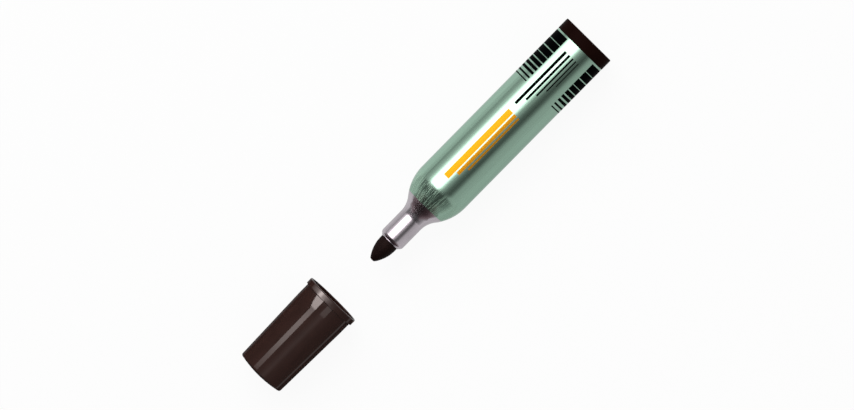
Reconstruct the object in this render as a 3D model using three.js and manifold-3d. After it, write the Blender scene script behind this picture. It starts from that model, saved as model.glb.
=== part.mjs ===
// Permanent marker with a drawn aluminium barrel, a bullet nib and a pull-off cap. The cap is off
// and lies in line with the marker, in front of the nib. Millimetres, +Z up. +X runs from the
// marker's back end towards the cap. The origin is on the table, under the middle of the whole.

import * as THREE from 'three';
import { mergeVertices, toCreasedNormals } from 'three/addons/utils/BufferGeometryUtils.js';
import Module from 'manifold-3d';

const wasm = await Module();
wasm.setup();

// Barrel: one drawn tube with a shoulder, a neck and a lip curled in round the nib
const barrelDiameter = 18;
const barrelWall = 0.45;
const barrelStraight = 58.1;
const shoulderTurn = 9.4;
const throatTurn = 4.6;
const neckStraight = 7.55;
const lipTurnRadius = 1.4;
const lipClearance = 0.08;

// End plug: a head that closes the back, and a hollow spigot with sealing rings
const plugHeadProud = 0.05;
const plugHeadLength = 3.9;
const plugEdgeChamfer = 0.35;
const plugFloor = 1.6;
const plugSpigotLength = 9;
const plugSpigotWall = 1;
const plugLeadIn = 0.4;
const plugRingCount = 3;
const plugRingHeight = 0.3;
const plugRingWidth = 0.9;
const plugRingStart = 1.6;
const plugRingEnd = 2.8;
const plugFinCount = 6;
const plugFinThickness = 0.8;
const plugFinSetback = 1;
const plugFinOpening = 5;

// Ink store: a bundle of fibre in a film sleeve, with an air tube laid along it
const fibreRoom = 0.48;
const filmThickness = 0.12;
const airTubeDiameter = 1.5;
const airTubeBore = 0.9;

// Nib: a rod of pressed fibre with a rounded point and a blunt tail
const nibDiameter = 6.05;
const nibLength = 36;
const nibProjection = 8.05;
const nibConeAngle = 24;
const nibNoseRadius = 1.35;
const nibShoulderRadius = 6;
const nibTailChamfer = 1;

// Nib holder: a bush in the neck that opens into a skirt under the shoulder
const holderWall = 0.55;
const holderSkirtWall = 0.8;
const holderSetback = 0.6;
const holderLead = 0.35;
const holderFinCount = 6;
const holderFinThickness = 0.8;
const ventWidth = 0.8;
const ventDepth = 0.25;
const ventSlotLength = 1.6;

// Cap: a collar at the mouth, a short straight band, then a taper to a domed closed end
const capLength = 31.4;
const capCollarProud = 0.15;
const capCollarLength = 2.1;
const capCollarRamp = 0.8;
const capCollarEase = 0.15;
const capCollarStep = 0.52;
const capBandLength = 2.95;
const capTaperDrop = 0.655;
const capCornerRadius = 1;
const capDomeRadius = 45;
const capWall = 1;
const capEndWall = 1.5;
const capMouthWall = 0.7;
const capMouthDepth = 1.9;
const capMouthRamp = 0.8;
const capRibCount = 8;
const capRibThickness = 0.8;
const capRibLength = 12;
const capRibLeadIn = 2;

// Inner seal: a soft cup in the cap that closes round the neck
const sealWall = 0.6;
const sealFloor = 0.8;
const sealMouthDepth = 11.5;
const sealRelief = 0.25;
const sealBeadClearance = 0.05;
const sealBeadLength = 1.5;
const sealBeadRamp = 0.5;

// Fits, and how far in front of the nib the cap lies
const seatGap = 0.05;
const fitGap = 0.05;
const capStandOff = 16.2;

// Fineness of the round surfaces
const outerSides = 48;
const innerSides = 32;
const shoulderSteps = 8;
const throatSteps = 5;
const lipSteps = 5;
const nibSteps = 4;
const tubeSides = 16;
const channelSteps = 6;
const cornerSteps = 4;
const domeSteps = 3;
const samePoint = 1e-4;
const creaseAngle = 0.6;

// Radii and places that follow from the sizes above
const barrelRadius = barrelDiameter / 2;
const barrelBore = barrelRadius - barrelWall;
const nibRadius = nibDiameter / 2;
const holderBore = nibRadius + fitGap;
const holderRadius = holderBore + holderWall;
const neckRadius = holderRadius + fitGap + barrelWall;
const lipBore = nibRadius + lipClearance;
const barrelBack = plugHeadLength + seatGap;
const shoulderStart = barrelBack + barrelStraight;
const neckStart = shoulderStart + shoulderTurn + throatTurn;
const lipStart = neckStart + neckStraight;
const shoulderSlope = 2 * Math.atan((barrelRadius - neckRadius) / (shoulderTurn + throatTurn));
const shoulderRadius = shoulderTurn / Math.sin(shoulderSlope);
const throatRadius = throatTurn / Math.sin(shoulderSlope);
const lipCentre = neckRadius - lipTurnRadius;
const lipFront = lipStart + lipTurnRadius * Math.sin(lipSweep(lipTurnRadius));
const nibTip = lipFront + nibProjection;
const nibTail = nibTip - nibLength;
const plugHeadRadius = barrelRadius + plugHeadProud;
const plugFront = plugHeadLength + plugSpigotLength;
const holderBack = shoulderStart + holderSetback;
const fibreBack = plugFront + seatGap;
const fibreFront = holderBack - seatGap;
const fibreRadius = barrelBore - fibreRoom - filmThickness - fitGap;
const airTubeRadius = airTubeDiameter / 2;
const airTubePlace = fibreRadius - airTubeRadius - fitGap;
const capCollarRadius = barrelRadius + capCollarProud;
const capMouthRadius = capCollarRadius - capMouthWall;
const capBandRadius = capCollarRadius - capCollarStep;
const capEndRadius = capBandRadius - capTaperDrop;
const capBandEnd = capCollarLength + capCollarRamp + capBandLength;
const capInnerEnd = capLength - capEndWall;
const sealRadius = neckRadius + sealRelief + sealWall;
const capMouth = nibTip + capStandOff;
const overallLength = capMouth + capLength;
const largestRadius = Math.max(barrelRadius, plugHeadRadius, capCollarRadius);
const axisHeight = largestRadius * Math.cos(Math.PI / outerSides);

// A point of a profile: how far along the axis, and how far out from it
function at(along, out) {
  return new THREE.Vector2(along, out);
}

// Points on an arc of a profile. An angle of 0 points forwards and a quarter turn points outwards.
function arc(along, out, radius, from, to, steps) {
  return Array.from({ length: steps + 1 }, (_, i) => {
    const angle = from + ((to - from) * i) / steps;
    return at(along + radius * Math.cos(angle), out + radius * Math.sin(angle));
  });
}

// A profile turned round the marker's axis. It runs forwards on the outside and back on the inside,
// and either starts and ends on the axis or closes on itself. A flat side faces the table.
function revolve(profile, sides) {
  const outline = profile.filter((p, i) => i === 0 || p.distanceTo(profile[i - 1]) > samePoint);
  if (outline[0].y > 0) {
    outline.push(outline[0]);
  }
  const points = outline.map((p) => new THREE.Vector2(p.y, p.x));
  return new THREE.LatheGeometry(points, sides, Math.PI / sides).rotateZ(-Math.PI / 2);
}

// A flat fin that stands out from the axis, drawn as a profile, at a turn round the axis
function fin(outline, thickness, turn) {
  const flat = new THREE.Shape(outline);
  const plate = new THREE.ExtrudeGeometry(flat, { depth: thickness, bevelEnabled: false });
  return plate.translate(0, 0, -thickness / 2).rotateX(turn);
}

// One geometry with shared vertices and no collapsed faces
function welded(geometry) {
  const bare = geometry.clone();
  bare.deleteAttribute('normal');
  bare.deleteAttribute('uv');
  const shared = mergeVertices(bare, samePoint);
  const corners = Array.from(shared.index.array);
  const kept = [];
  for (let i = 0; i < corners.length; i += 3) {
    const [a, b, c] = corners.slice(i, i + 3);
    if (a !== b && b !== c && c !== a) {
      kept.push(a, b, c);
    }
  }
  shared.setIndex(kept);
  return shared;
}

function solid(geometry) {
  const shared = welded(geometry);
  return new wasm.Manifold(new wasm.Mesh({
    numProp: 3,
    vertProperties: new Float32Array(shared.attributes.position.array),
    triVerts: new Uint32Array(shared.index.array),
  }));
}

function geometryOf(body) {
  const mesh = body.getMesh();
  const geometry = new THREE.BufferGeometry();
  geometry.setAttribute('position', new THREE.BufferAttribute(mesh.vertProperties, 3));
  geometry.setIndex(new THREE.BufferAttribute(mesh.triVerts, 1));
  return geometry;
}

// A body with others joined on, and then others cut away
function joinAndCut(base, joined, cut) {
  const whole = joined.reduce((body, extra) => body.add(solid(extra)), solid(base));
  const finished = cut.reduce((body, tool) => body.subtract(solid(tool)), whole);
  return geometryOf(finished);
}

// The same feature at even turns round the axis
function around(count, offset, make) {
  return Array.from({ length: count }, (_, i) => make(((i + offset) / count) * 2 * Math.PI));
}

// How far the lip's curl turns before it reaches its opening, on a surface of this radius
function lipSweep(radius) {
  const reach = (lipBore - neckRadius + lipTurnRadius) / radius;
  return Math.acos(THREE.MathUtils.clamp(reach, 0, 1));
}

// The barrel's skin over shoulder and throat, from back to front, at a depth under its outside
function shoulderCurve(depth) {
  const quarter = Math.PI / 2;
  const turn = shoulderSlope;
  return [
    ...arc(shoulderStart, barrelRadius - shoulderRadius, shoulderRadius - depth,
      quarter, quarter - turn, shoulderSteps),
    ...arc(neckStart, neckRadius + throatRadius, throatRadius + depth,
      3 * quarter - turn, 3 * quarter, throatSteps),
  ];
}

// The barrel's lip, from the neck to its opening, at a depth under its outside
function lipCurve(depth) {
  const quarter = Math.PI / 2;
  const radius = lipTurnRadius - depth;
  const sweep = lipSweep(radius);
  return [
    ...arc(lipStart, lipCentre, radius, quarter, quarter - sweep, lipSteps),
    at(lipStart + radius * Math.sin(sweep), lipBore),
  ];
}

function makeBarrel() {
  const outside = [at(barrelBack, barrelRadius), ...shoulderCurve(0), ...lipCurve(0)];
  const inside = [at(barrelBack, barrelBore), ...shoulderCurve(barrelWall), ...lipCurve(barrelWall)];
  return revolve([...outside, ...inside.reverse()], outerSides);
}

function makeEndPlug() {
  const ringTop = barrelBore - fitGap;
  const spigot = ringTop - plugRingHeight;
  const bore = spigot - plugSpigotWall;
  const ringPitch = (plugSpigotLength - plugRingStart - plugRingEnd) / Math.max(1, plugRingCount - 1);
  const rings = Array.from({ length: plugRingCount }, (_, i) => {
    const middle = plugHeadLength + plugRingStart + i * ringPitch;
    return [
      at(middle - plugRingWidth / 2, spigot),
      at(middle - plugRingWidth / 4, ringTop),
      at(middle + plugRingWidth / 4, ringTop),
      at(middle + plugRingWidth / 2, spigot),
    ];
  });
  const cup = revolve([
    at(0, 0),
    at(0, plugHeadRadius - plugEdgeChamfer),
    at(plugEdgeChamfer, plugHeadRadius),
    at(plugHeadLength, plugHeadRadius),
    at(plugHeadLength, spigot),
    ...rings.flat(),
    at(plugFront - plugLeadIn, spigot),
    at(plugFront, spigot - plugLeadIn),
    at(plugFront, bore),
    at(plugFloor, bore),
    at(plugFloor, 0),
  ], outerSides);
  const finRoot = plugFloor / 2;
  const finTop = bore + plugSpigotWall / 2;
  const finOutline = [
    at(finRoot, plugFinOpening / 2),
    at(plugFront - plugFinSetback, plugFinOpening / 2),
    at(plugFront - plugFinSetback, finTop),
    at(finRoot, finTop),
  ];
  const fins = around(plugFinCount, 0, (turn) => fin(finOutline, plugFinThickness, turn));
  return joinAndCut(cup, fins, []);
}

function makeFibre() {
  const pocket = nibRadius + fitGap;
  const pocketFloor = nibTail - seatGap;
  const bundle = revolve([
    at(fibreBack, 0),
    at(fibreBack, fibreRadius),
    at(fibreFront, fibreRadius),
    at(fibreFront, pocket),
    at(pocketFloor + nibTailChamfer, pocket),
    at(pocketFloor, pocket - nibTailChamfer),
    at(pocketFloor, 0),
  ], innerSides);
  const reach = airTubeRadius + fitGap;
  const channel = new THREE.Shape();
  channel.moveTo(fibreRadius + reach, -reach);
  channel.lineTo(fibreRadius + reach, reach);
  channel.lineTo(airTubePlace, reach);
  channel.absarc(airTubePlace, 0, reach, Math.PI / 2, (3 * Math.PI) / 2, false);
  channel.closePath();
  const along = {
    depth: fibreFront - fibreBack + 2 * reach,
    bevelEnabled: false,
    curveSegments: channelSteps,
  };
  const cutter = new THREE.ExtrudeGeometry(channel, along)
    .rotateY(-Math.PI / 2)
    .translate(fibreFront + reach, 0, 0);
  return joinAndCut(bundle, [], [cutter]);
}

function makeFilm() {
  const inner = fibreRadius + fitGap;
  const outer = inner + filmThickness;
  return revolve([
    at(fibreBack, outer),
    at(fibreFront, outer),
    at(fibreFront, inner),
    at(fibreBack, inner),
  ], innerSides);
}

function makeAirTube() {
  const tube = revolve([
    at(fibreBack, airTubeRadius),
    at(fibreFront, airTubeRadius),
    at(fibreFront, airTubeBore / 2),
    at(fibreBack, airTubeBore / 2),
  ], tubeSides);
  return tube.translate(0, 0, airTubePlace);
}

function makeNib() {
  const slope = THREE.MathUtils.degToRad(nibConeAngle);
  const quarter = Math.PI / 2;
  const noseCentre = nibTip - nibNoseRadius;
  const noseAlong = noseCentre + nibNoseRadius * Math.sin(slope);
  const noseOut = nibNoseRadius * Math.cos(slope);
  const coneBase = noseAlong - (nibRadius - noseOut) / Math.tan(slope);
  const shoulder = coneBase - nibShoulderRadius * Math.tan(slope / 2);
  return revolve([
    at(nibTail, 0),
    at(nibTail, nibRadius - nibTailChamfer),
    at(nibTail + nibTailChamfer, nibRadius),
    ...arc(shoulder, nibRadius - nibShoulderRadius, nibShoulderRadius, quarter, quarter - slope, nibSteps),
    ...arc(noseCentre, 0, nibNoseRadius, quarter - slope, 0, nibSteps),
  ], innerSides);
}

// The part of a curve that stays outside a radius, and the point where it comes down to it
function outsideOf(curve, radius) {
  const last = curve.findIndex((p) => p.y <= radius);
  if (last < 1) {
    return curve;
  }
  const [a, b] = [curve[last - 1], curve[last]];
  return [...curve.slice(0, last), a.clone().lerp(b, (a.y - radius) / (a.y - b.y))];
}

function makeNibHolder() {
  const skin = barrelWall + fitGap;
  const trim = (curve) => curve.filter((p) => p.x > holderBack + samePoint);
  const backOf = (depth) => {
    const drop = shoulderRadius - depth;
    const rise = Math.sqrt(drop * drop - holderSetback * holderSetback);
    return at(holderBack, barrelRadius - shoulderRadius + rise);
  };
  const inner = outsideOf(
    [backOf(skin + holderSkirtWall), ...trim(shoulderCurve(skin + holderSkirtWall))], holderRadius);
  const funnelEnd = inner[inner.length - 1].x;
  const front = lipStart + holderLead;
  const body = revolve([
    backOf(skin),
    ...trim(shoulderCurve(skin)),
    at(lipStart, holderRadius),
    at(front, holderRadius - holderLead),
    at(front, holderBore),
    at(holderBack, holderBore),
    at(holderBack, holderRadius),
    ...inner.reverse(),
  ], innerSides);
  const middle = skin + holderSkirtWall / 2;
  const finRoot = holderBore + holderWall / 2;
  const finTop = outsideOf([backOf(middle), ...trim(shoulderCurve(middle))], holderRadius);
  const finOutline = [at(holderBack, finRoot), at(finTop[finTop.length - 1].x, finRoot), ...finTop.reverse()];
  const fins = around(holderFinCount, 0, (turn) => fin(finOutline, holderFinThickness, turn));
  const slotStart = funnelEnd - ventSlotLength;
  const ventOutline = [
    at(slotStart, holderRadius - ventDepth),
    at(front + ventDepth, holderRadius - ventDepth),
    at(front + ventDepth, barrelRadius),
    at(slotStart, barrelRadius),
  ];
  const vents = around(holderFinCount, 0.5, (turn) => fin(ventOutline, ventWidth, turn));
  return joinAndCut(body, fins, vents);
}

// The middle of the cap's wall, at a place along the cap
function capWallMiddle(along) {
  const share = (along - capBandEnd) / (capInnerEnd - capBandEnd);
  return THREE.MathUtils.lerp(capBandRadius, capEndRadius, share) - capWall / 2;
}

function makeCapShell() {
  const domeCentre = capLength - capDomeRadius;
  const cornerOut = capEndRadius - capCornerRadius;
  const cornerReach = capDomeRadius - capCornerRadius;
  const cornerAlong = domeCentre + Math.sqrt(cornerReach * cornerReach - cornerOut * cornerOut);
  const domeEdge = Math.asin(cornerOut / cornerReach);
  const shell = revolve([
    at(capInnerEnd, 0),
    at(capInnerEnd, capEndRadius - capWall),
    at(capBandEnd, capBandRadius - capWall),
    at(capMouthDepth + capMouthRamp, capBandRadius - capWall),
    at(capMouthDepth, capMouthRadius),
    at(0, capMouthRadius),
    at(0, capCollarRadius - capCollarEase),
    at(capCollarEase, capCollarRadius),
    at(capCollarLength, capCollarRadius),
    at(capCollarLength + capCollarRamp, capBandRadius),
    at(capBandEnd, capBandRadius),
    ...arc(cornerAlong, cornerOut, capCornerRadius, Math.PI / 2, domeEdge, cornerSteps),
    ...arc(domeCentre, 0, capDomeRadius, domeEdge, 0, domeSteps),
  ], outerSides);
  const ribBack = capInnerEnd + capEndWall / 2;
  const ribFront = capInnerEnd - capRibLength;
  const ribInner = sealRadius + fitGap;
  const ribOutline = [
    at(ribBack, ribInner),
    at(ribBack, capWallMiddle(ribBack)),
    at(ribFront, capWallMiddle(ribFront)),
    at(ribFront + capRibLeadIn, ribInner),
  ];
  const ribs = around(capRibCount, 0, (turn) => fin(ribOutline, capRibThickness, turn));
  return joinAndCut(shell, ribs, []);
}

function makeInnerSeal() {
  const back = capInnerEnd - seatGap;
  const bore = neckRadius + sealRelief;
  const bead = neckRadius + sealBeadClearance;
  const beadStart = sealMouthDepth + sealBeadRamp;
  const beadEnd = beadStart + sealBeadLength;
  return revolve([
    at(back - sealFloor, 0),
    at(back - sealFloor, bore),
    at(beadEnd + sealBeadRamp, bore),
    at(beadEnd, bead),
    at(beadStart, bead),
    at(sealMouthDepth, bore),
    at(sealMouthDepth, sealRadius),
    at(back, sealRadius),
    at(back, 0),
  ], innerSides);
}

// A named piece in its own material
function piece(name, geometry, finish) {
  const mesh = new THREE.Mesh(
    toCreasedNormals(welded(geometry), creaseAngle),
    new THREE.MeshStandardMaterial(finish),
  );
  mesh.name = name;
  return mesh;
}

const marker = new THREE.Group();
marker.add(
  piece('barrel', makeBarrel(), { color: 0x7d9889, metalness: 0.9, roughness: 0.38 }),
  piece('end_plug', makeEndPlug(), { color: 0x3d2e2b, metalness: 0, roughness: 0.35 }),
  piece('ink_fibre', makeFibre(), { color: 0x2b2622, metalness: 0, roughness: 0.95 }),
  piece('fibre_film', makeFilm(), { color: 0xcfd4d2, metalness: 0, roughness: 0.3 }),
  piece('air_tube', makeAirTube(), { color: 0xe4e2da, metalness: 0, roughness: 0.5 }),
  piece('nib_holder', makeNibHolder(), { color: 0xd8d5cb, metalness: 0, roughness: 0.55 }),
  piece('nib', makeNib(), { color: 0x1d1210, metalness: 0, roughness: 0.9 }),
);

const cap = new THREE.Group();
cap.add(
  piece('cap_shell', makeCapShell(), { color: 0x40302d, metalness: 0, roughness: 0.25 }),
  piece('cap_inner_seal', makeInnerSeal(), { color: 0xdedbd2, metalness: 0, roughness: 0.5 }),
);
cap.position.x = capMouth;

const whole = new THREE.Group();
whole.add(marker, cap);
whole.position.set(-overallLength / 2, 0, axisHeight);

export default whole;
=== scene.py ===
"""Looks of a round permanent marker that lies with its cap pulled off, in line in front of the nib.

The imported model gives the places. This script turns the pieces that show as fine round meshes, prints
the barrel, dresses every piece in a finish of its own and lights the marker as a product picture does.
"""

import logging
import math
from dataclasses import KW_ONLY, dataclass, replace
from enum import Enum

import bmesh
import bpy
from mathutils import Matrix, Vector, noise


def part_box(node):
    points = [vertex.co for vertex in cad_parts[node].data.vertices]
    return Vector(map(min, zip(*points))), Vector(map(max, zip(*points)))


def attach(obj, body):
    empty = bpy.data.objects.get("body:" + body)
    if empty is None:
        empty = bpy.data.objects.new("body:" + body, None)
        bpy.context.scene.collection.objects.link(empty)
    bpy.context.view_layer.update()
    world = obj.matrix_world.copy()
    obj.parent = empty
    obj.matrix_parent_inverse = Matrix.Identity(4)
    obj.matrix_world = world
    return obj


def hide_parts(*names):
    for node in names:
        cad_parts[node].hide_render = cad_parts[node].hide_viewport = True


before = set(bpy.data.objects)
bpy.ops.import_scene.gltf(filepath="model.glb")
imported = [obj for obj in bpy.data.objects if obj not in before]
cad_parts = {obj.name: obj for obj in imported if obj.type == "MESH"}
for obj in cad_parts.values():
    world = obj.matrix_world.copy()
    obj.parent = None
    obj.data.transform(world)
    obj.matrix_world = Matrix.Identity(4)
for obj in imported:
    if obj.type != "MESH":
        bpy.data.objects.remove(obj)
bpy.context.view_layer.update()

LOG = logging.getLogger("permanent_marker")
MM = 0.001
TURN = 2 * math.pi
AXIS_HEIGHT = sum(corner.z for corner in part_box("barrel")) / 2
ALONG = (1.0, 0.0, 0.0)
ASIDE = (0.0, 1.0, 0.0)
ROUND_STEPS = 192
BORE_STEPS = 128
SAME_POINT = 1e-7
SHARP_ANGLE = math.radians(28)
ROUND_PROFILE = 0.5
DRUM_RADIUS = 0.009
COAT_ROUGHNESS = 0.06
DEGREES_PER_STEP = 3
SEEN_RAYS = ("Camera", "Glossy", "Transmission")
WHITE = (1.0, 1.0, 1.0)
# The stretches of a noise that a pattern goes through from its one end to its other.
FULL_SPAN = (0.0, 1.0)
WIDE_SPAN = (0.3, 0.7)
MIDDLE_SPAN = (0.35, 0.65)
# The numbers of the Mix node's sockets for its share and its colours, whose names aren't unique.
MIX_SHARE = 0
MIX_FIRST = 6
MIX_SECOND = 7
MIX_RESULT = 2

Pair = tuple[float, float]
Triple = tuple[float, float, float]
Colour = Triple
Socket = bpy.types.NodeSocket
Value = Socket | float | Colour
Mesh = bmesh.types.BMesh
Vert = bmesh.types.BMVert
Piece = bpy.types.Object
Material = bpy.types.Material


class Body(Enum):
    """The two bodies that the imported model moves."""

    MARKER = "marker"
    CAP = "cap"


class Slot(Enum):
    """The record's material slots for the turned pieces. Nothing in this script uses them."""

    BARREL = "barrel_metal"
    PLUG = "plug_plastic"
    NIB = "nib_felt"
    CAP = "cap_plastic"
    SEAL = "seal_plastic"


class Ray(Enum):
    """The kinds of ray that can miss a studio object, by the setting that says so."""

    CAMERA = "visible_camera"
    DIFFUSE = "visible_diffuse"
    GLOSSY = "visible_glossy"
    TRANSMISSION = "visible_transmission"
    SHADOW = "visible_shadow"


def only(parts: list, kind: type) -> list:
    """Picks the parts of one kind out of the vertices, edges and faces that an operator gives."""
    return [part for part in parts if isinstance(part, kind)]


def sweep(
    mesh: Mesh, parts: list, middle: Vector, axis: Triple, turn: float, steps: int, merge: bool = False
) -> list:
    """Sweeps vertices and edges about a line.

    Args:
        mesh: The mesh that they belong to.
        parts: The vertices and edges.
        middle: A place on the line.
        axis: The line's direction.
        turn: How far to sweep, in radians.
        steps: How many parts the sweep has.
        merge: Whether the end of a full turn is joined to its start.

    Returns:
        The vertices and edges at the sweep's end.
    """
    made = bmesh.ops.spin(
        mesh, geom=parts, cent=middle, axis=axis, angle=turn, steps=steps, use_merge=merge
    )
    return made["geom_last"]


@dataclass(frozen=True)
class Spindle:
    """The line that pieces are turned about.

    Attributes:
        start: Where the line starts along X, in metres.
        height: How high the line lies above the floor, in metres.
    """

    start: float
    height: float

    @classmethod
    def behind(cls, node: str) -> "Spindle":
        """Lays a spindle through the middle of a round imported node, from its back end."""
        low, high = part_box(node)
        return cls(start=low.x, height=(low.z + high.z) / 2)

    def spot(self, along: float, out: float) -> Vector:
        """Gives the place above the spindle, along it and out from it in millimetres."""
        return Vector((self.start + along * MM, 0.0, self.height + out * MM))


class LathePen:
    """Draws a profile above a spindle and turns it into a closed solid.

    A place is given as millimetres along the spindle and out from it.
    """

    def __init__(self, spindle: Spindle, along: float, out: float) -> None:
        """Sets the pen down.

        Args:
            spindle: The line that the profile is turned about.
            along: Where the profile starts along the spindle.
            out: How far out it starts.
        """
        self.spindle = spindle
        self.mesh = bmesh.new()
        self.first = self.mesh.verts.new(spindle.spot(along, out))
        self.tip = self.first
        self.corners: list[tuple[Vert, float, int]] = []

    def line(self, along: float, out: float, rings: int = 1) -> None:
        """Draws a straight stretch, cut into even parts so that it shades as a straight one.

        Args:
            along: Where the stretch ends along the spindle.
            out: How far out it ends.
            rings: How many parts it has.
        """
        begin = self.tip.co.copy()
        end = self.spindle.spot(along, out)
        for ring in range(rings):
            made = bmesh.ops.extrude_vert_indiv(self.mesh, verts=[self.tip])
            self.tip = made["verts"][0]
            self.tip.co = begin.lerp(end, (ring + 1) / rings)

    def corner(self, along: float, out: float, cut: float, rings: int = 1, steps: int = 4) -> None:
        """Draws a straight stretch to a corner, whose rounding will start cut millimetres from it."""
        self.line(along, out, rings)
        self.corners.append((self.tip, cut * MM, steps))

    def arc(self, along: float, out: float, turn: float, steps: int) -> None:
        """Swings the pen round a centre. A positive turn swings from outwards to forwards."""
        last = sweep(self.mesh, [self.tip], self.spindle.spot(along, out), ASIDE, turn, steps)
        self.tip = only(last, Vert)[0]

    def close(self) -> None:
        """Joins the pen's last place to its first."""
        self.mesh.edges.new((self.tip, self.first))

    def turn(self, steps: int = ROUND_STEPS) -> Mesh:
        """Rounds the corners and turns the profile all the way round.

        Args:
            steps: How many sides the turned solid has.

        Returns:
            The closed mesh.
        """
        for corner, cut, parts in self.corners:
            rounding = {"offset": cut, "segments": parts, "profile": ROUND_PROFILE}
            bmesh.ops.bevel(self.mesh, geom=[corner], affect="VERTICES", **rounding)
        profile = self.mesh.verts[:] + self.mesh.edges[:]
        sweep(self.mesh, profile, self.spindle.spot(0.0, 0.0), ALONG, TURN, steps, merge=True)
        bmesh.ops.remove_doubles(self.mesh, verts=self.mesh.verts[:], dist=SAME_POINT)
        bmesh.ops.recalc_face_normals(self.mesh, faces=self.mesh.faces[:])
        return self.mesh


class NodeSketch:
    """Short calls for the nodes of one material, or of the world."""

    def __init__(self, owner: Material | bpy.types.World) -> None:
        """Starts on the nodes.

        Args:
            owner: The new material or world that they belong to.
        """
        owner.use_nodes = True
        self.owner = owner
        self.tree = owner.node_tree

    def put(self, target: Socket, value: Value) -> None:
        """Links an output to an input, or gives the input a plain number or colour.

        Args:
            target: The input.
            value: What goes into it.
        """
        if isinstance(value, Socket):
            self.tree.links.new(value, target)
        elif target.type == "RGBA":
            target.default_value = (*value, 1.0)
        else:
            target.default_value = value

    def node(
        self, kind: str, output: str | int, inputs: dict[str | int, Value] | None = None, **settings: object
    ) -> Socket:
        """Adds a node.

        Args:
            kind: Blender's name of the node, after "ShaderNode".
            output: The name or number of the output that is wanted.
            inputs: What goes into its inputs, by their names or numbers.
            **settings: The node's own settings.

        Returns:
            The output.
        """
        made = self.tree.nodes.new("ShaderNode" + kind)
        for setting, value in settings.items():
            setattr(made, setting, value)
        for name, value in (inputs or {}).items():
            self.put(made.inputs[name], value)
        return made.outputs[output]

    def feed(self, name: str, value: Value) -> None:
        """Fills a named input of the material's usual shader."""
        self.put(self.tree.nodes["Principled BSDF"].inputs[name], value)

    def show(self, shader: Socket) -> None:
        """Shows another shader in place of the usual one."""
        self.tree.nodes.remove(self.tree.nodes["Principled BSDF"])
        self.put(self.tree.nodes["Material Output"].inputs["Surface"], shader)

    def reckon(self, operation: str, first: Value, second: Value = 0.0) -> Socket:
        """Works out a number from one or two others."""
        return self.node("Math", "Value", {0: first, 1: second}, operation=operation)

    def range(self, source: Socket, span: Pair, result: Pair) -> Socket:
        """Maps one range of numbers to another and stops at its ends.

        Args:
            source: The number to map.
            span: The range that it is mapped from.
            result: What the two ends of that range become.

        Returns:
            The mapped number.
        """
        inputs = {"Value": source, "From Min": span[0], "From Max": span[1]}
        inputs |= {"To Min": result[0], "To Max": result[1]}
        return self.node("MapRange", "Result", inputs, clamp=True)

    def blend(self, share: Socket, first: Value, second: Value) -> Socket:
        """Mixes two colours, of which the second shows in full where the share is 1."""
        inputs = {MIX_SHARE: share, MIX_FIRST: first, MIX_SECOND: second}
        return self.node("Mix", MIX_RESULT, inputs, data_type="RGBA")

    def place(self) -> Socket:
        """Gives the place in the frame, in metres."""
        return self.node("TexCoord", "Object")

    def part(self, axis: str) -> Socket:
        """Gives one coordinate of the place."""
        return self.node("SeparateXYZ", axis, {"Vector": self.place()})

    def rolled(self) -> Socket:
        """Gives the place as if the surface were rolled on a drum, so that marks run along its slopes.

        Returns:
            The place along the marker, and the place round it on a circle of the drum's radius.
        """
        upwards = self.reckon("SUBTRACT", self.part("Z"), AXIS_HEIGHT)
        spoke = self.node("CombineXYZ", "Vector", {"Y": self.part("Y"), "Z": upwards})
        unit = self.node("VectorMath", "Vector", {0: spoke}, operation="NORMALIZE")
        drum = self.node("VectorMath", "Vector", {0: unit, "Scale": DRUM_RADIUS}, operation="SCALE")
        along = self.node("CombineXYZ", "Vector", {"X": self.part("X")})
        return self.node("VectorMath", "Vector", {0: drum, 1: along}, operation="ADD")

    def grain(
        self, along: float, across: float, detail: float = 2.0, seed: float = 0.0, rolled: bool = False
    ) -> Socket:
        """Gives a noise that can be stretched along the marker.

        Args:
            along: How long its marks are along the marker, in millimetres.
            across: How wide they are across it, in millimetres.
            detail: How many finer layers it has.
            seed: How far the pattern is shifted, so that two patterns differ.
            rolled: Whether the marks follow a turned surface up and down its slopes.

        Returns:
            The noise, from 0 to 1.
        """
        place = self.rolled() if rolled else self.place()
        scale = (1 / (along * MM), 1 / (across * MM), 1 / (across * MM))
        inputs = {"Vector": place, "Location": (seed, seed, seed), "Scale": scale}
        stretched = self.node("Mapping", "Vector", inputs)
        return self.node("TexNoise", "Fac", {"Vector": stretched, "Scale": 1.0, "Detail": detail})

    def relief(self, height: Socket, depth: float) -> None:
        """Turns a pattern from 0 to 1 into relief of a depth in millimetres."""
        bump = self.node("Bump", "Normal", {"Height": height, "Strength": 1.0, "Distance": depth * MM})
        self.feed("Normal", bump)

    def seen(self) -> Socket:
        """Marks the rays that see the plain background: those of the camera, gloss and clear pieces."""
        camera, gloss, clear = (self.node("LightPath", f"Is {kind} Ray") for kind in SEEN_RAYS)
        return self.reckon("MAXIMUM", self.reckon("MAXIMUM", camera, gloss), clear)


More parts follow.
